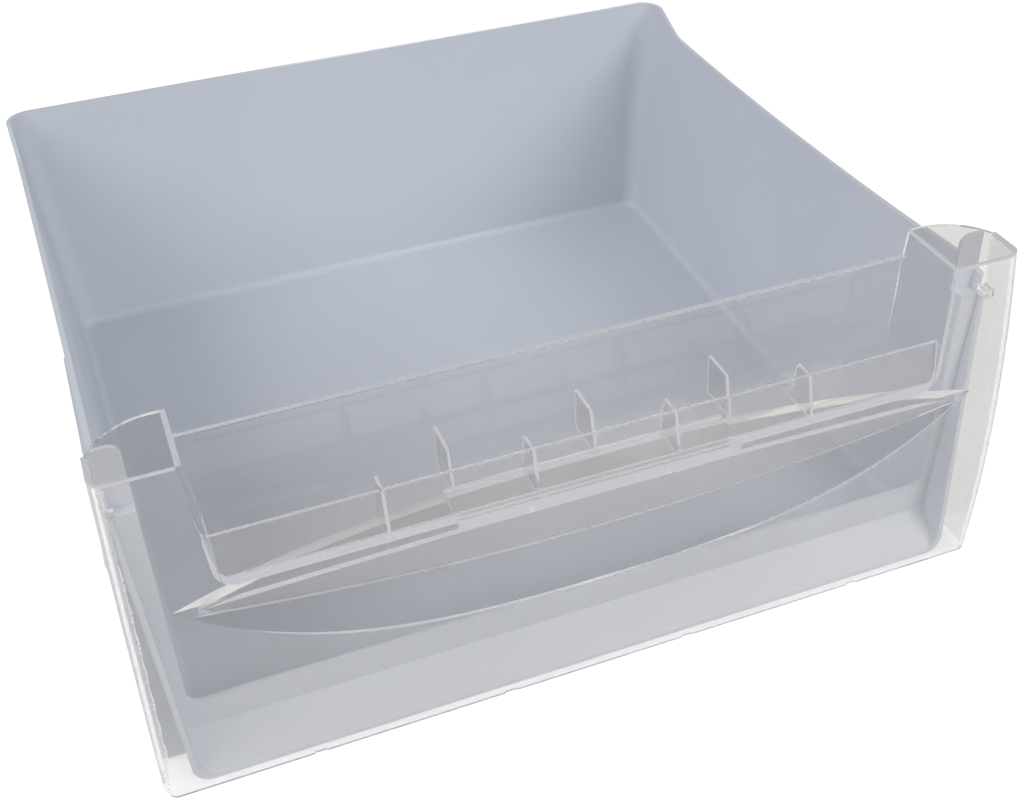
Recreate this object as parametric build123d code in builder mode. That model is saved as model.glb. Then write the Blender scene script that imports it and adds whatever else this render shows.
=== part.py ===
"""Freezer drawer: a white moulded bin behind a clear moulded front panel.

X runs to the right along the front, Y to the back and Z up. The origin is the middle of the
footprint on the surface that the drawer stands on. Sizes are in millimetres, and a "depth" is
measured backwards from the foremost line of the bowed front.
"""
import os
from math import radians, sqrt, tan

from build123d import *

# Overall size of the drawer; the width is that of the clear panel's foot
width = 430.0
depth = 410.0
height = 183.0

# Clear panel: a bowed skin that narrows upwards, with a return down each side
clear_wall = 2.5
bow_radius = 780.0
bow_height = 68.0
panel_lean = 5.0
panel_corner = 7.0
panel_front_round = 6.0
return_depth = 28.5
notch_pitch = 95.0
notch_width = 5.5
notch_height = 0.9

# Trough between the two towers: drafted sides, a low parapet in front and a taller back
tower_width = 35.5
trough_side_lean = 5.0
trough_floor_top = 122.5
trough_floor_wall = 3.0
trough_corner = 8.0
trough_back_depth = 43.7
trough_back_lean = 3.0
trough_back_top = 169.7
trough_cove = 6.0
parapet_cove = 2.0
parapet_foot = 121.0
parapet_depth = 7.6
parapet_top = 144.6
trough_edge_round = 0.8

# Tower caps: flat tops with a rounded rear edge
cap_depth = 46.5
cap_flat = 6.0

# Ribs in the trough, in two staggered rows
rib_wall = 1.6
rib_pitch = 67.5
rib_row_shift = 3.0
front_rib_drop = 1.2
front_rib_top_depth = 19.0
front_rib_foot_depth = 24.0
rear_rib_height = 20.0
rear_rib_top_depth = 25.0
rear_rib_foot_depth = 19.5

# Finger pocket: a smile-shaped mouth under a hanging lip, with a ramp that rises to a roof
pocket_inset = 26.2
pocket_tip = 110.7
pocket_tip_flat = 0.6
pocket_roof = 114.0
pocket_pad_half = 68.0
pocket_lip = 96.5
pocket_mouth_bottom = 63.0
pocket_shoulder_inset = 57.8
pocket_shoulder = 79.0
ramp_run = 23.0
ramp_rise = 51.0

# White bin: drafted walls, wider at the back than at the front
bin_wall = 2.5
bin_floor = 3.0
bin_foot_inset = 17.0
bin_widening = 9.1
bin_side_draft = 3.4
bin_back_draft = 0.7
bin_corner = 14.0
bin_bottom_round = 7.0
bin_inner_round = 5.0

# Rim: it sinks in a shallow arc from the front to the rear, then rises in a horn to the back wall
rim_front = 161.5
rim_front_depth = 46.0
rim_middle = 150.6
rim_middle_depth = 222.0
rim_rear = 148.3
rim_back = 158.0
horn_start = 45.0
horn_end = 16.0
horn_foot_round = 25.0
horn_top_round = 8.0

# Collar: an upright plate that closes the bin's front around a U-shaped opening. Its wings fill
# the clear panel from side to side, and a post behind each wing reaches up to the tower cap.
collar_depth = 26.5
collar_wall = 2.5
collar_top = 152.0
collar_foot = 1.0
collar_foot_wall = 1.6
post_depth = 32.4
post_wall = 2.0
post_corner = 5.0
opening_inset = 20.0
opening_sill = 33.0
opening_corner = 6.0
fit_clearance = 0.8
cap_clearance = 0.3

# Snout: the bin's walls run on in front of the collar to an edge that leans back, with a sloped toe
snout_foot_reach = 11.5
snout_top_reach = 0.2
snout_foot_depth = 9.0
snout_top_depth = 25.0
snout_corner = 9.0
toe_edge = 2.0
toe_top = 17.0
toe_corner = 10.0

# Snap lug on each side of the clear panel, above the collar
lug_reach = 5.0
lug_height = 4.0
lug_front_depth = 20.0

# Runner ledge along each side of the bin
runner_height = 120.0
runner_wall = 2.5
runner_inset = 2.0
runner_front_depth = 36.0
runner_rear_depth = 194.0

# Room past a face for cuts that run right through
margin = 10.0

front = -depth / 2
trough_top_half = width / 2 - panel_lean - tower_width
trough_floor_half = trough_top_half - trough_side_lean
pocket_half = width / 2 - pocket_inset
opening_half = width / 2 - opening_inset
room_front_depth = collar_depth + collar_wall


def y_at(depth_behind_front):
    return front + depth_behind_front


def bow_depth(z):
    """Depth of the bowed outer skin at height z."""
    return bow_radius - sqrt(bow_radius**2 - (z - bow_height) ** 2)


def across(depth_behind_front):
    """Upright plane across the drawer, X to the right and Z up."""
    return Plane.XZ.offset(-y_at(depth_behind_front))


def panel_half(z):
    """Half-width of the clear panel at height z."""
    return width / 2 - panel_lean * z / height


def wing_half(z):
    """Half-width that fits between the clear panel's returns at height z."""
    return panel_half(z) - clear_wall - fit_clearance


def snout_half(z):
    """Half-width of the snout's outside at height z."""
    foot = wing_half(0) - snout_foot_reach
    top = wing_half(collar_top) - snout_top_reach
    return foot + (top - foot) * z / collar_top


def bin_half(z):
    """Half-width of the bin's outside just behind the collar at height z."""
    return width / 2 - bin_foot_inset + z * tan(radians(bin_side_draft))


def bowed_profile(inset):
    """Side view of all that lies behind the bowed skin, set back by an inset."""
    low = -margin
    high = height + margin
    far = y_at(depth)
    with BuildSketch(Plane.YZ) as profile:
        with BuildLine():
            bow = ThreePointArc(
                (y_at(bow_depth(low) + inset), low),
                (y_at(inset), bow_height),
                (y_at(bow_depth(high) + inset), high),
            )
            Polyline(bow @ 1, (far, high), (far, low), bow @ 0)
        make_face()
    return profile.sketch


def panel_outline(inset, bottom, top):
    """Front view of the clear panel with its narrowing sides."""
    with BuildSketch(across(-margin)) as outline:
        with BuildLine():
            Polyline(
                (-panel_half(bottom) + inset, bottom),
                (panel_half(bottom) - inset, bottom),
                (panel_half(top) - inset, top),
                (-panel_half(top) + inset, top),
                close=True,
            )
        make_face()
    return outline.sketch


def round_bow_ends(body, radius):
    """Round the two upright edges where a bowed front turns into the sides."""
    bow = body.faces().filter_by(GeomType.CYLINDER).sort_by(Axis.Y)[0]
    ends = bow.edges().sort_by(Axis.X)
    fillet([ends[0], ends[-1]], radius)


def trough_outline(bottom, wall, plane):
    """Front view of the trough: drafted sides that open upwards and rounded lower corners."""
    top = height + margin
    draft = (trough_top_half - trough_floor_half) / (height - trough_floor_top)
    top_half = trough_top_half + draft * margin + wall
    low_half = trough_floor_half + draft * (bottom - trough_floor_top) + wall
    with BuildSketch(plane) as outline:
        with BuildLine():
            Polyline(
                (-low_half, bottom),
                (low_half, bottom),
                (top_half, top),
                (-top_half, top),
                close=True,
            )
        make_face()
        fillet(outline.vertices().group_by(Axis.Y)[0], trough_corner + wall)
    return outline.sketch


def pocket_outline(mouth_drop, roof_rise, plane):
    """Front view of the finger pocket: a gently ridged roof over a smile-shaped lower edge."""
    tip = pocket_half + roof_rise
    tip_top = pocket_tip + pocket_tip_flat + roof_rise
    shoulder = pocket_half - pocket_shoulder_inset
    with BuildSketch(plane) as outline:
        with BuildLine():
            mouth = Spline(
                (-tip, pocket_tip - mouth_drop),
                (-shoulder, pocket_shoulder - mouth_drop),
                (0, pocket_mouth_bottom - mouth_drop),
                (shoulder, pocket_shoulder - mouth_drop),
                (tip, pocket_tip - mouth_drop),
            )
            Polyline(
                mouth @ 1,
                (tip, tip_top),
                (pocket_pad_half, pocket_roof + roof_rise),
                (-pocket_pad_half, pocket_roof + roof_rise),
                (-tip, tip_top),
                mouth @ 0,
            )
        make_face()
    return outline.sketch


def side_prism(points, half, mode=Mode.ADD):
    """Straight prism across the drawer from a side-view outline of (depth, z) points."""
    with BuildSketch(Plane.YZ) as profile:
        with BuildLine():
            Polyline(*[(y_at(d), z) for d, z in points], close=True)
        make_face()
    extrude(profile.sketch, amount=half, both=True, mode=mode)


# Hollow behind the skin, between the side returns and under the tower caps
with BuildPart() as panel_hollow:
    extrude(panel_outline(clear_wall, -margin, height - clear_wall), amount=-depth)
    extrude(bowed_profile(clear_wall), amount=width, both=True, mode=Mode.INTERSECT)
    round_bow_ends(panel_hollow, panel_front_round - clear_wall)

# Space inside the trough, open upwards and over the parapet
back_foot_depth = trough_back_depth - trough_back_lean
with BuildPart() as trough_space:
    extrude(trough_outline(trough_floor_top, 0, across(-margin)), amount=-depth)
    with BuildSketch(Plane.YZ) as trough_section:
        with BuildLine():
            Polyline(
                (y_at(bow_depth(parapet_foot) + clear_wall), trough_floor_top),
                (y_at(parapet_depth + clear_wall), parapet_top),
                (y_at(-margin), parapet_top),
                (y_at(-margin), height + margin),
                (y_at(depth), height + margin),
                (y_at(depth), trough_back_top),
                (y_at(trough_back_depth), trough_back_top),
                (y_at(back_foot_depth), trough_floor_top),
                close=True,
            )
        make_face()
        coves = trough_section.vertices().group_by(Axis.Y)[0].sort_by(Axis.X)
        fillet(coves[0], parapet_cove)
        fillet(coves[-1], trough_cove)
        for edge_depth, edge_top in (
            (parapet_depth + clear_wall, parapet_top),
            (trough_back_depth, trough_back_top),
        ):
            top_edge = trough_section.vertices().sort_by_distance((y_at(edge_depth), edge_top))[0]
            fillet(top_edge, trough_edge_round)
    extrude(trough_section.sketch, amount=width, both=True, mode=Mode.INTERSECT)

# Step in front of the parapet, which leans back from the skin
with BuildPart() as parapet_step:
    extrude(trough_outline(parapet_foot, 0, across(-margin)), amount=-depth)
    side_prism(
        [
            (-margin, parapet_foot),
            (bow_depth(parapet_foot), parapet_foot),
            (parapet_depth, parapet_top),
            (-margin, parapet_top),
        ],
        width,
        mode=Mode.INTERSECT,
    )

# Finger space: above the ramp and under the pocket's roof
ramp_slope = ramp_rise / ramp_run
ramp_length = sqrt(ramp_run**2 + ramp_rise**2)
with BuildPart() as finger_space:
    extrude(
        pocket_outline(ramp_slope * margin, 0, across(-margin)),
        amount=2 * ramp_length,
        dir=(0, ramp_run, ramp_rise),
    )
    extrude(pocket_outline(0, 0, across(-margin)), amount=-depth / 2, mode=Mode.INTERSECT)

# Moulded body of the pocket, one wall thicker than the finger space
ramp_wall_drop = clear_wall * ramp_length / ramp_run
with BuildPart() as pocket_body:
    extrude(
        pocket_outline(ramp_wall_drop, clear_wall, across(0)),
        amount=2 * ramp_length,
        dir=(0, ramp_run, ramp_rise),
    )
    extrude(
        pocket_outline(ramp_wall_drop, clear_wall, across(0)),
        amount=-(ramp_run + clear_wall),
        mode=Mode.INTERSECT,
    )

# Hanging lip: the part of the skin that covers the pocket's upper half
with BuildPart() as hanging_lip:
    with BuildSketch(across(-margin)) as lip_outline:
        with BuildLine():
            lip = ThreePointArc((-pocket_half, pocket_tip), (0, pocket_lip), (pocket_half, pocket_tip))
            Polyline(lip @ 1, (pocket_half, trough_floor_top), (-pocket_half, trough_floor_top), lip @ 0)
        make_face()
    extrude(amount=-depth / 2)
    extrude(bowed_profile(0), amount=width, both=True, mode=Mode.INTERSECT)
    extrude(bowed_profile(clear_wall), amount=width, both=True, mode=Mode.SUBTRACT)

# Clear front panel, moulded in one piece
with BuildPart() as front_panel:
    extrude(panel_outline(0, 0, height), amount=-(return_depth + margin))
    extrude(bowed_profile(0), amount=width, both=True, mode=Mode.INTERSECT)
    round_bow_ends(front_panel, panel_front_round)
    add(panel_hollow.part, mode=Mode.SUBTRACT)
    # Trough box between the towers
    extrude(trough_outline(trough_floor_top - trough_floor_wall, clear_wall, across(0)), amount=-cap_depth)
    with BuildSketch(Plane.XY.offset(height)) as above_towers:
        Rectangle(2 * width, 2 * depth)
    extrude(amount=2 * margin, mode=Mode.SUBTRACT)
    # Tower caps, which start behind the skin and end in a rounded rear edge
    with BuildSketch(Plane.XY.offset(height)) as caps:
        with BuildLine():
            cap_front = y_at(bow_depth(height) + panel_front_round)
            cap_outer = panel_half(height) - clear_wall / 2
            inner = Line((trough_top_half, cap_front), (trough_top_half, y_at(cap_depth)))
            flat = Line(inner @ 1, (trough_top_half + cap_flat, y_at(cap_depth)))
            edge = TangentArc(flat @ 1, (cap_outer, y_at(return_depth)), tangent=(1, 0))
            Polyline(edge @ 1, (cap_outer, cap_front), inner @ 0)
        make_face()
        mirror(about=Plane.YZ)
    extrude(amount=-clear_wall)
    # Lower back corner of the trough follows the lean of its back
    side_prism(
        [
            (trough_back_depth + clear_wall, trough_back_top),
            (back_foot_depth + clear_wall, trough_floor_top),
            (back_foot_depth + clear_wall, parapet_foot - margin),
            (depth, parapet_foot - margin),
            (depth, trough_back_top),
        ],
        trough_floor_half + clear_wall,
        mode=Mode.SUBTRACT,
    )
    add(pocket_body.part)
    # Solid pad that joins the pocket's roof to the trough's floor
    side_prism(
        [
            (0, pocket_roof),
            (ramp_run + clear_wall, pocket_roof),
            (ramp_run + clear_wall, trough_floor_top - trough_floor_wall),
            (0, trough_floor_top - trough_floor_wall),
        ],
        pocket_pad_half,
    )
    extrude(bowed_profile(0), amount=width, both=True, mode=Mode.INTERSECT)
    # Rounded lower corners
    with BuildSketch(across(-margin)) as rounded:
        add(panel_outline(0, 0, height))
        fillet(rounded.vertices().group_by(Axis.Y)[0], panel_corner)
    extrude(amount=-depth, mode=Mode.INTERSECT)
    add(trough_space.part, mode=Mode.SUBTRACT)
    add(parapet_step.part, mode=Mode.SUBTRACT)
    add(finger_space.part, mode=Mode.SUBTRACT)
    add(hanging_lip.part)
    # Notches in the skin's lower edge
    with BuildSketch(across(-margin)) as notches:
        with GridLocations(notch_pitch, 0, 4, 1):
            Rectangle(notch_width, 2 * notch_height)
    extrude(amount=-2 * margin, mode=Mode.SUBTRACT)
    # Snap lugs on the returns
    lug_outer = panel_half(collar_top) - clear_wall / 2
    lug_inner = panel_half(collar_top) - clear_wall - lug_reach
    with BuildSketch(Plane.XY.offset(collar_top + fit_clearance)) as lugs:
        with BuildLine():
            Polyline(
                (lug_inner, y_at(lug_front_depth)),
                (lug_outer, y_at(lug_front_depth)),
                (lug_outer, y_at(collar_depth)),
                (lug_inner, y_at(collar_depth)),
                close=True,
            )
        make_face()
        mirror(about=Plane.YZ)
    extrude(amount=lug_height)
    # Front ribs stiffen the parapet, and rear ribs stand between them against the back
    for number in (-1.5, -0.5, 0.5, 1.5):
        with BuildSketch(Plane.YZ.offset(number * rib_pitch + rib_row_shift)) as front_rib:
            Polygon(
                (y_at(parapet_depth + clear_wall / 2), parapet_top - front_rib_drop),
                (y_at(front_rib_top_depth), parapet_top - front_rib_drop),
                (y_at(front_rib_foot_depth), trough_floor_top - clear_wall / 2),
                (y_at(bow_depth(parapet_foot) + clear_wall / 2), trough_floor_top - clear_wall / 2),
                align=None,
            )
        extrude(amount=rib_wall / 2, both=True)
    for number in (-1, 0, 1):
        with BuildSketch(Plane.YZ.offset(number * rib_pitch + rib_row_shift)) as rear_rib:
            Polygon(
                (y_at(trough_back_depth), trough_floor_top + rear_rib_height),
                (y_at(rear_rib_top_depth), trough_floor_top + rear_rib_height),
                (y_at(rear_rib_foot_depth), trough_floor_top - clear_wall / 2),
                (y_at(back_foot_depth + clear_wall / 2), trough_floor_top - clear_wall / 2),
                align=None,
            )
        extrude(amount=rib_wall / 2, both=True)
front_panel.part.label = "front_panel"


def drafted_tub(foot, inset, front_depth):
    """Solid tub up to above the rim, inset from the bin's outside: drafted walls and rounded edges."""
    front_half = bin_half(foot) - inset
    back = y_at(depth) - (rim_back - foot) * tan(radians(bin_back_draft)) - inset
    with BuildPart() as tub:
        with BuildSketch(Plane.XY.offset(foot)) as plan:
            with BuildLine():
                Polyline(
                    (-front_half, y_at(front_depth)),
                    (front_half, y_at(front_depth)),
                    (front_half + bin_widening, back),
                    (-front_half - bin_widening, back),
                    close=True,
                )
            make_face()
        extrude(amount=rim_back + margin - foot)
        walls = tub.faces().sort_by(Axis.X)
        draft([walls[0], walls[-1]], Plane.XY.offset(foot), -bin_side_draft)
        draft(tub.faces().sort_by(Axis.Y)[-1], Plane.XY.offset(foot), -bin_back_draft)
        corners = tub.faces().sort_by(Axis.Y)[-1].edges().sort_by(Axis.X)
        fillet([corners[0], corners[-1]], bin_corner - inset)
        fillet(tub.edges().group_by(Axis.Z)[0], bin_inner_round if inset else bin_bottom_round)
    return tub.part


bin_outside = drafted_tub(0, 0, collar_depth - bin_bottom_round)
bin_room = drafted_tub(bin_floor, bin_wall, room_front_depth)


def snout_outline(inset, foot, corner):
    """Front view of the snout, set in from its outside, with rounded lower corners."""
    top = collar_top + margin
    with BuildSketch(across(room_front_depth)) as outline:
        with BuildLine():
            Polyline(
                (-snout_half(foot) + inset, foot),
                (snout_half(foot) - inset, foot),
                (snout_half(top) - inset, top),
                (-snout_half(top) + inset, top),
                close=True,
            )
        make_face()
        fillet(outline.vertices().group_by(Axis.Y)[0], corner)
    return outline.sketch


# Space inside the snout: above the sloped toe and between the side walls
toe_slope = (toe_top - toe_edge) / (collar_depth - snout_foot_depth)
with BuildPart() as snout_space:
    extrude(snout_outline(bin_wall, toe_edge, toe_corner), amount=room_front_depth + margin)
    side_prism(
        [
            (-margin, toe_edge - toe_slope * (snout_foot_depth + margin)),
            (collar_depth, toe_top),
            (collar_depth, collar_top + margin),
            (-margin, collar_top + margin),
        ],
        width,
        mode=Mode.INTERSECT,
    )

# White bin, moulded in one piece
with BuildPart() as drawer_bin:
    add(bin_outside)
    extrude(snout_outline(0, 0, snout_corner), amount=room_front_depth - snout_foot_depth)
    # The snout's edge leans back towards the top of the collar
    snout_lean = (snout_top_depth - snout_foot_depth) / collar_top
    side_prism(
        [
            (snout_foot_depth - margin, 0),
            (snout_foot_depth, 0),
            (snout_foot_depth + snout_lean * 2 * height, 2 * height),
            (snout_foot_depth - margin, 2 * height),
        ],
        width,
        mode=Mode.SUBTRACT,
    )
    add(snout_space.part, mode=Mode.SUBTRACT)
    add(bin_room, mode=Mode.SUBTRACT)
    # The toe is hollow underneath, like any moulded wall
    toe_drop = bin_wall * sqrt(1 + toe_slope**2)
    toe_start = snout_foot_depth + bin_bottom_round
    side_prism(
        [
            (toe_start, -margin),
            (toe_start, toe_edge + toe_slope * bin_bottom_round - toe_drop),
            (collar_depth, toe_top - toe_drop),
            (collar_depth, -margin),
        ],
        opening_half - toe_corner,
        mode=Mode.SUBTRACT,
    )
    # Rim line along both sides, with a horn at each rear corner
    with BuildSketch(Plane.YZ) as above_rim:
        with BuildLine():
            rim_line = ThreePointArc(
                (y_at(rim_front_depth), rim_front),
                (y_at(rim_middle_depth), rim_middle),
                (y_at(depth - horn_start), rim_rear),
            )
            Polyline(
                rim_line @ 1,
                (y_at(depth - horn_end), rim_back),
                (y_at(depth + margin), rim_back),
                (y_at(depth + margin), rim_back + 2 * margin),
                (y_at(-margin), rim_back + 2 * margin),
                (y_at(-margin), collar_top),
                (y_at(room_front_depth), collar_top),
                (y_at(room_front_depth), rim_front),
                rim_line @ 0,
            )
        make_face()
        bends = above_rim.vertices().sort_by(Axis.X)
        fillet(bends[5], horn_foot_round)
        fillet(bends[6], horn_top_round)
    extrude(amount=width, both=True, mode=Mode.SUBTRACT)
    # Wings of the collar between the clear panel's returns, thinner below the toe
    for foot, top, wall in ((toe_top, collar_top, collar_wall), (collar_foot, toe_top, collar_foot_wall)):
        with BuildSketch(across(room_front_depth)) as wings:
            with BuildLine():
                Polyline(
                    (opening_half, foot),
                    (wing_half(foot), foot),
                    (wing_half(top), top),
                    (opening_half, top),
                    close=True,
                )
            make_face()
            mirror(about=Plane.YZ)
        extrude(amount=wall)
    # U-shaped opening above the low front wall
    with BuildSketch(across(0)) as opening:
        with BuildLine():
            Polyline(
                (-opening_half, opening_sill),
                (opening_half, opening_sill),
                (opening_half, height),
                (-opening_half, height),
                close=True,
            )
        make_face()
        fillet(opening.vertices().group_by(Axis.Y)[0], opening_corner)
    extrude(amount=-2 * room_front_depth, mode=Mode.SUBTRACT)
    # Runner ledge along each side wall
    with BuildSketch(Plane.XY.offset(runner_height)) as runner:
        with BuildLine():
            Polyline(
                (bin_half(runner_height) - bin_wall / 2, y_at(runner_front_depth)),
                (width / 2 - runner_inset, y_at(runner_front_depth)),
                (width / 2 - runner_inset, y_at(runner_rear_depth)),
                (bin_half(runner_height) - bin_wall / 2, y_at(runner_rear_depth)),
                close=True,
            )
        make_face()
        mirror(about=Plane.YZ)
    extrude(amount=-runner_wall)
    add(bin_room, mode=Mode.SUBTRACT)
    # A post behind each wing, on a ledge level with the top of the collar
    post_top = height - clear_wall - cap_clearance
    with BuildSketch(across(post_depth + post_wall)) as posts:
        with BuildLine():
            Polyline(
                (opening_half, collar_top - collar_wall),
                (wing_half(collar_top), collar_top - collar_wall),
                (wing_half(post_top), post_top),
                (opening_half, post_top),
                close=True,
            )
        make_face()
        fillet(posts.vertices().group_by(Axis.Y)[-1].sort_by(Axis.X)[0], post_corner)
        mirror(about=Plane.YZ)
    extrude(amount=post_wall)
    with BuildSketch(Plane.XY.offset(collar_top)) as ledges:
        with BuildLine():
            Polyline(
                (opening_half, y_at(collar_depth)),
                (wing_half(collar_top), y_at(collar_depth)),
                (wing_half(collar_top), y_at(post_depth + post_wall)),
                (opening_half, y_at(post_depth + post_wall)),
                close=True,
            )
        make_face()
        mirror(about=Plane.YZ)
    extrude(amount=-collar_wall)
drawer_bin.part.label = "drawer_bin"

os.makedirs("parts", exist_ok=True)
export_step(drawer_bin.part, "parts/drawer_bin.step")
export_step(front_panel.part, "parts/front_panel.step")
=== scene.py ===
"""Freezer drawer: a satin white bin behind a clear moulded front, on a pale floor."""
import math

import bpy
from mathutils import Matrix, Vector

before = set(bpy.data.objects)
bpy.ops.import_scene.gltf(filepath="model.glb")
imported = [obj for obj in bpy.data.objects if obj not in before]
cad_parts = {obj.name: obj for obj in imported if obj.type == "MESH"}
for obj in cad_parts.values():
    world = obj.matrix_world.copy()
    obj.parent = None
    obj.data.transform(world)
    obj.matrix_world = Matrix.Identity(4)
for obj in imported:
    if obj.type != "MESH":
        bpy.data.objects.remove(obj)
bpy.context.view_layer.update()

# Drawer bin: one injection moulding in white polystyrene, with a satin face from the mould.
# The mould's fine texture breaks up its gloss, and sliding food and packs have left faint
# scuffs on it. The material goes on the bin's mesh from model.glb.
BIN_WHITE = (0.70, 0.735, 0.80, 1.0)
BIN_SHADE = (0.655, 0.695, 0.77, 1.0)
BIN_IOR = 1.5
BIN_CLOUD_SCALE = 9.0
BIN_SCUFF_SCALE = 60.0
BIN_ROUGH_LOW = 0.30
BIN_ROUGH_HIGH = 0.42
BIN_GRAIN_SCALE = 2600.0
BIN_GRAIN_DEPTH = 0.00002
BIN_GRAIN_STRENGTH = 0.3
SCUFF_STRETCH = (1.0, 0.12, 0.6)
SCUFF_FAINTEST = 0.56
SCUFF_STRONGEST = 0.74


def add_node(tree, kind, label, **values):
    """Add a shader node, with its plain values set by input name."""
    node = tree.nodes.new(kind)
    node.name = label
    node.label = label
    for name, value in values.items():
        node.inputs[name.replace("_", " ")].default_value = value
    return node


def moulding_texture_group():
    """Surface of a moulding: a slow cloudiness and faint, stretched scuffs, both from 0 to 1."""
    group = bpy.data.node_groups.new("moulding_texture", "ShaderNodeTree")
    for name in ("Cloud Scale", "Scuff Scale"):
        group.interface.new_socket(name, in_out="INPUT", socket_type="NodeSocketFloat")
    for name in ("Cloud", "Scuff"):
        group.interface.new_socket(name, in_out="OUTPUT", socket_type="NodeSocketFloat")
    entry = group.nodes.new("NodeGroupInput")
    leave = group.nodes.new("NodeGroupOutput")
    place = group.nodes.new("ShaderNodeTexCoord")
    cloud = add_node(group, "ShaderNodeTexNoise", "cloud", Detail=1.0, Roughness=0.55)
    stretch = add_node(group, "ShaderNodeMapping", "stretch", Scale=SCUFF_STRETCH)
    scuff = add_node(group, "ShaderNodeTexNoise", "scuff", Detail=2.0, Roughness=0.7)
    pick = add_node(
        group, "ShaderNodeMapRange", "pick scuffs",
        From_Min=SCUFF_FAINTEST, From_Max=SCUFF_STRONGEST,
    )
    group.links.new(place.outputs["Object"], cloud.inputs["Vector"])
    group.links.new(entry.outputs["Cloud Scale"], cloud.inputs["Scale"])
    group.links.new(place.outputs["Object"], stretch.inputs["Vector"])
    group.links.new(stretch.outputs["Vector"], scuff.inputs["Vector"])
    group.links.new(entry.outputs["Scuff Scale"], scuff.inputs["Scale"])
    group.links.new(scuff.outputs["Fac"], pick.inputs["Value"])
    group.links.new(cloud.outputs["Fac"], leave.inputs["Cloud"])
    group.links.new(pick.outputs["Result"], leave.inputs["Scuff"])
    return group


def texture_moulding(tree, shader, scales, tones, roughness):
    """Give a shader the moulding's cloudy tone and scuffed gloss, each between two values."""
    surface = tree.nodes.new("ShaderNodeGroup")
    surface.node_tree = moulding_texture
    surface.inputs["Cloud Scale"].default_value = scales[0]
    surface.inputs["Scuff Scale"].default_value = scales[1]
    tone = tree.nodes.new("ShaderNodeMix")
    tone.data_type = "RGBA"
    tone.inputs["A"].default_value = tones[0]
    tone.inputs["B"].default_value = tones[1]
    tree.links.new(surface.outputs["Cloud"], tone.inputs["Factor"])
    tree.links.new(tone.outputs["Result"], shader.inputs["Base Color"])
    gloss = add_node(
        tree, "ShaderNodeMapRange", "gloss", To_Min=roughness[0], To_Max=roughness[1]
    )
    tree.links.new(surface.outputs["Scuff"], gloss.inputs["Value"])
    tree.links.new(gloss.outputs["Result"], shader.inputs["Roughness"])


def wear_only(piece, material):
    """Put one material on a piece, in place of those it came with."""
    piece.data.materials.clear()
    piece.data.materials.append(material)


moulding_texture = moulding_texture_group()

bin_plastic = bpy.data.materials.new("white_satin_polystyrene")
bin_plastic.use_nodes = True
tree = bin_plastic.node_tree
shader = tree.nodes["Principled BSDF"]
shader.inputs["IOR"].default_value = BIN_IOR
texture_moulding(
    tree, shader, (BIN_CLOUD_SCALE, BIN_SCUFF_SCALE), (BIN_SHADE, BIN_WHITE),
    (BIN_ROUGH_LOW, BIN_ROUGH_HIGH),
)
place = tree.nodes.new("ShaderNodeTexCoord")
grain = add_node(tree, "ShaderNodeTexNoise", "mould grain", Scale=BIN_GRAIN_SCALE, Detail=0.0)
bump = add_node(
    tree, "ShaderNodeBump", "grain bump", Distance=BIN_GRAIN_DEPTH, Strength=BIN_GRAIN_STRENGTH
)
tree.links.new(place.outputs["Object"], grain.inputs["Vector"])
tree.links.new(grain.outputs["Fac"], bump.inputs["Height"])
tree.links.new(bump.outputs["Normal"], shader.inputs["Normal"])
wear_only(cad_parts["drawer_bin"], bin_plastic)

# Front panel: one clear polystyrene moulding with a polished bowed face, two hollow towers,
# a ribbed trough and a finger pocket. It is pushed over the bin's collar. Its tint is faintly
# cloudy, and scuffs from use break its gloss.
CLEAR_TINT = (0.91, 0.897, 0.885, 1.0)
CLEAR_TINT_CLOUDY = (0.865, 0.853, 0.842, 1.0)
CLEAR_IOR = 1.5
CLEAR_CLOUD_SCALE = 14.0
CLEAR_SCUFF_SCALE = 90.0
CLEAR_ROUGH_LOW = 0.015
CLEAR_ROUGH_HIGH = 0.10
CLEAR_TRANSMISSION = 0.985
CLEAR_REFLECTIONS = 1.5
# Painted glow: colour and strength of an emission that paints the panel's edges pale; it is no
# lamp.
CLEAR_PAINTED_EDGE = (0.92, 0.92, 1.0, 1.0)
CLEAR_PAINTED_EDGE_GLOW = 0.64
CLEAR_SHADE = (0.80, 0.80, 0.80, 1.0)

clear_plastic = bpy.data.materials.new("clear_polystyrene")
clear_plastic.use_nodes = True
tree = clear_plastic.node_tree
shader = tree.nodes["Principled BSDF"]
shader.inputs["IOR"].default_value = CLEAR_IOR
shader.inputs["Transmission Weight"].default_value = CLEAR_TRANSMISSION
texture_moulding(
    tree, shader, (CLEAR_CLOUD_SCALE, CLEAR_SCUFF_SCALE), (CLEAR_TINT, CLEAR_TINT_CLOUDY),
    (CLEAR_ROUGH_LOW, CLEAR_ROUGH_HIGH),
)


def switch_node(tree, kind, label, value):
    """Add a Math node of one kind, with a plain second value."""
    node = add_node(tree, "ShaderNodeMath", label)
    node.operation = kind
    node.inputs[1].default_value = value
    return node


def switch_shader(tree, switch, usual, other):
    """Show one shader, and the other for the rays that the switch picks out."""
    both = tree.nodes.new("ShaderNodeMixShader")
    tree.links.new(switch, both.inputs["Fac"])
    tree.links.new(usual, both.inputs[1])
    tree.links.new(other, both.inputs[2])
    return both.outputs["Shader"]
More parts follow.
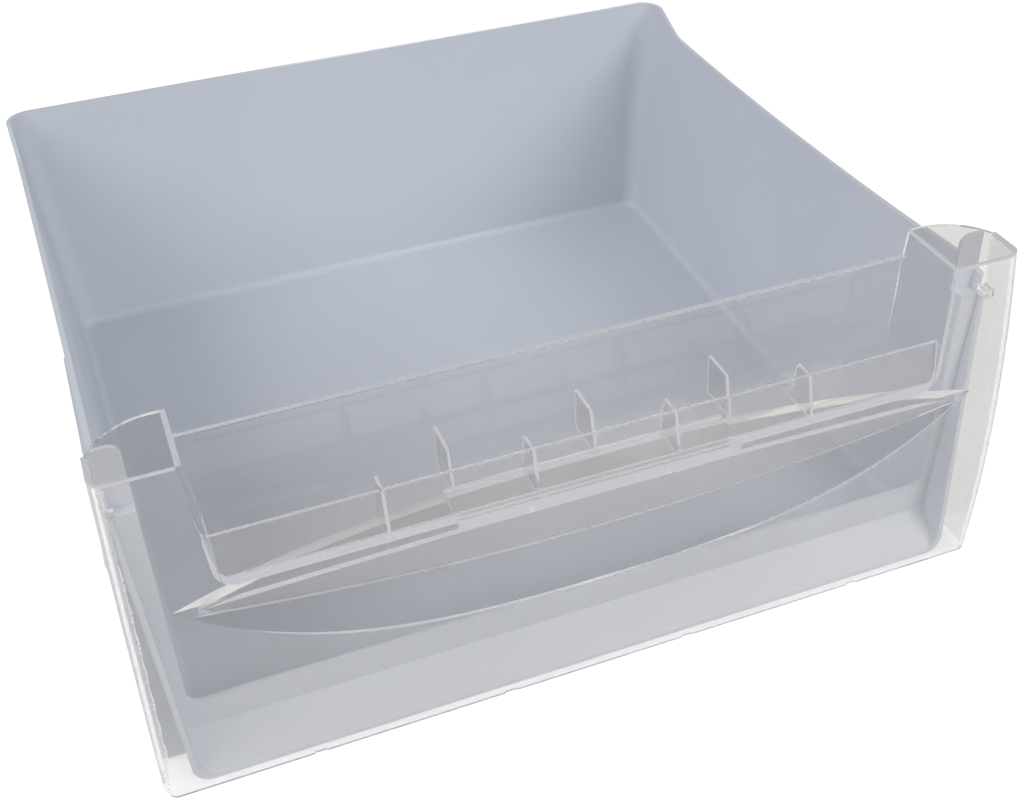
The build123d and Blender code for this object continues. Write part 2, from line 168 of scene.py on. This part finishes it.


# After two or more glossy bounces in the clear plastic, a ray ends in a painted pale glow. This
# is an emission that stands for light trapped between a wall's faces, and it paints pale edges.
# The lamps shine through the panel with some loss.
path = tree.nodes.new("ShaderNodeLightPath")
painted_glow_rays = switch_node(tree, "GREATER_THAN", "rays for painted glow", CLEAR_REFLECTIONS)
tree.links.new(path.outputs["Glossy Depth"], painted_glow_rays.inputs[0])
# Painted pale edge glow: an emission, not a lamp, shown in place of the glass after deep gloss
# bounces.
edge = add_node(
    tree, "ShaderNodeEmission", "painted pale edge glow", Color=CLEAR_PAINTED_EDGE, Strength=CLEAR_PAINTED_EDGE_GLOW
)
shade = add_node(tree, "ShaderNodeBsdfTransparent", "lamps through the panel", Color=CLEAR_SHADE)
wall = switch_shader(
    tree, painted_glow_rays.outputs["Value"], shader.outputs["BSDF"], edge.outputs["Emission"]
)
lit_wall = switch_shader(tree, path.outputs["Is Shadow Ray"], wall, shade.outputs["BSDF"])
tree.links.new(lit_wall, tree.nodes["Material Output"].inputs["Surface"])
wear_only(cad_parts["front_panel"], clear_plastic)

# Floor: a wide pale sheet under the drawer. It looks white to the camera, a little greyer in
# gloss and through the clear plastic, and it keeps the drawer's soft shadow.
FLOOR_SIZE = 8.0
FLOOR_DROP = 0.0004
FLOOR_PALE = (0.86, 0.86, 0.86, 1.0)
FLOOR_GLOW = 0.55
FLOOR_GLOW_IN_GLOSS = 0.30
FLOOR_GLOW_THROUGH_CLEAR = 0.32
WHITE = (1, 1, 1, 1)


def seen_rays(tree, camera, gloss, through):
    """Strengths for camera rays, for gloss and for sight through clear plastic, else zero.

    A ray that has left a dull surface sees none of them, so that they light nothing.
    """
    path = tree.nodes.new("ShaderNodeLightPath")
    either = add_node(tree, "ShaderNodeMath", "gloss or clear plastic")
    either.operation = "MAXIMUM"
    tree.links.new(path.outputs["Is Glossy Ray"], either.inputs[0])
    tree.links.new(path.outputs["Is Transmission Ray"], either.inputs[1])
    level = add_node(tree, "ShaderNodeMapRange", "level", To_Min=gloss, To_Max=through)
    tree.links.new(path.outputs["Is Transmission Ray"], level.inputs["Value"])
    indirect = add_node(tree, "ShaderNodeMath", "indirect sight")
    indirect.operation = "MULTIPLY"
    tree.links.new(either.outputs["Value"], indirect.inputs[0])
    tree.links.new(level.outputs["Result"], indirect.inputs[1])
    direct = switch_node(tree, "MULTIPLY_ADD", "direct sight", camera)
    tree.links.new(path.outputs["Is Camera Ray"], direct.inputs[0])
    tree.links.new(indirect.outputs["Value"], direct.inputs[2])
    sight = switch_node(tree, "LESS_THAN", "before any dull surface", 0.5)
    tree.links.new(path.outputs["Diffuse Depth"], sight.inputs[0])
    seen = add_node(tree, "ShaderNodeMath", "seen strength")
    seen.operation = "MULTIPLY"
    tree.links.new(direct.outputs["Value"], seen.inputs[0])
    tree.links.new(sight.outputs["Value"], seen.inputs[1])
    return seen.outputs["Value"]


bpy.ops.object.select_all(action="DESELECT")
bpy.ops.mesh.primitive_plane_add(size=FLOOR_SIZE, location=(0, 0, -FLOOR_DROP))
floor = bpy.context.object
floor.name = "floor"
pale_sheet = bpy.data.materials.new("pale_floor")
pale_sheet.use_nodes = True
tree = pale_sheet.node_tree
tree.nodes.clear()
out = tree.nodes.new("ShaderNodeOutputMaterial")
matt = add_node(tree, "ShaderNodeBsdfDiffuse", "matt sheet", Color=FLOOR_PALE)
glow = add_node(tree, "ShaderNodeEmission", "white to the camera", Color=WHITE)
both = tree.nodes.new("ShaderNodeAddShader")
seen = seen_rays(tree, FLOOR_GLOW, FLOOR_GLOW_IN_GLOSS, FLOOR_GLOW_THROUGH_CLEAR)
tree.links.new(seen, glow.inputs["Strength"])
tree.links.new(matt.outputs["BSDF"], both.inputs[0])
tree.links.new(glow.outputs["Emission"], both.inputs[1])
tree.links.new(both.outputs["Shader"], out.inputs["Surface"])
floor.data.materials.append(pale_sheet)

# Studio light: an even room light with a dark ceiling in the gloss, one large soft lamp on the
# left, one to the right of the camera, and a low one behind that stays below the rim's reach.
ROOM_LIGHT = 0.34
ROOM_SEEN = 0.845
ROOM_IN_GLOSS = 0.12
ROOM_THROUGH_CLEAR = 0.70
LAMP_AIM = (0, 0, 0.05)
BACK_AIM = (0, 0.2, 0.08)

world = bpy.data.worlds.new("studio")
bpy.context.scene.world = world
world.use_nodes = True
tree = world.node_tree
back = tree.nodes["Background"]
back.inputs["Color"].default_value = WHITE
lift = switch_node(tree, "ADD", "room light", ROOM_LIGHT)
seen = seen_rays(
    tree, ROOM_SEEN - ROOM_LIGHT, ROOM_IN_GLOSS - ROOM_LIGHT, ROOM_THROUGH_CLEAR - ROOM_LIGHT
)
tree.links.new(seen, lift.inputs[0])
tree.links.new(lift.outputs["Value"], back.inputs["Strength"])


def soft_lamp(name, spot, aim, size, power):
    """Square soft lamp at a spot, turned towards a point."""
    data = bpy.data.lights.new(name, "AREA")
    data.shape = "SQUARE"
    data.size = size
    data.energy = power
    lamp = bpy.data.objects.new(name, data)
    lamp.location = spot
    lamp.rotation_euler = (Vector(aim) - Vector(spot)).to_track_quat("-Z", "Y").to_euler()
    bpy.context.scene.collection.objects.link(lamp)


soft_lamp("key_lamp", (-1.15, -0.35, 1.15), LAMP_AIM, size=1.0, power=10.0)
soft_lamp("fill_lamp", (0.75, -1.25, 0.95), LAMP_AIM, size=0.8, power=10.0)
soft_lamp("back_lamp", (0.5, 1.5, 0.42), BACK_AIM, size=0.6, power=7.0)

# Camera: from the left front and above, as the drawer is seen in its picture.
VIEW_AZIMUTH = math.radians(-19.65)
VIEW_ELEVATION = math.radians(37.95)
VIEW_ROLL = math.radians(2.02)
VIEW_SPOT = (-0.1868, -0.6077, 0.5143)
VIEW_LENS = 47.34
VIEW_SENSOR = 36.0

forward = Vector((
    -math.sin(VIEW_AZIMUTH) * math.cos(VIEW_ELEVATION),
    math.cos(VIEW_AZIMUTH) * math.cos(VIEW_ELEVATION),
    -math.sin(VIEW_ELEVATION),
))
level = forward.cross(Vector((0, 0, 1))).normalized()
down = forward.cross(level)
right = math.cos(VIEW_ROLL) * level + math.sin(VIEW_ROLL) * down
low = -math.sin(VIEW_ROLL) * level + math.cos(VIEW_ROLL) * down
turn = Matrix((right, -low, -forward)).transposed()
lens = bpy.data.cameras.new("camera")
lens.lens = VIEW_LENS
lens.sensor_width = VIEW_SENSOR
camera = bpy.data.objects.new("camera", lens)
camera.matrix_world = Matrix.Translation(VIEW_SPOT) @ turn.to_4x4()
bpy.context.scene.collection.objects.link(camera)
bpy.context.scene.camera = camera

bpy.context.scene.view_settings.view_transform = "Standard"
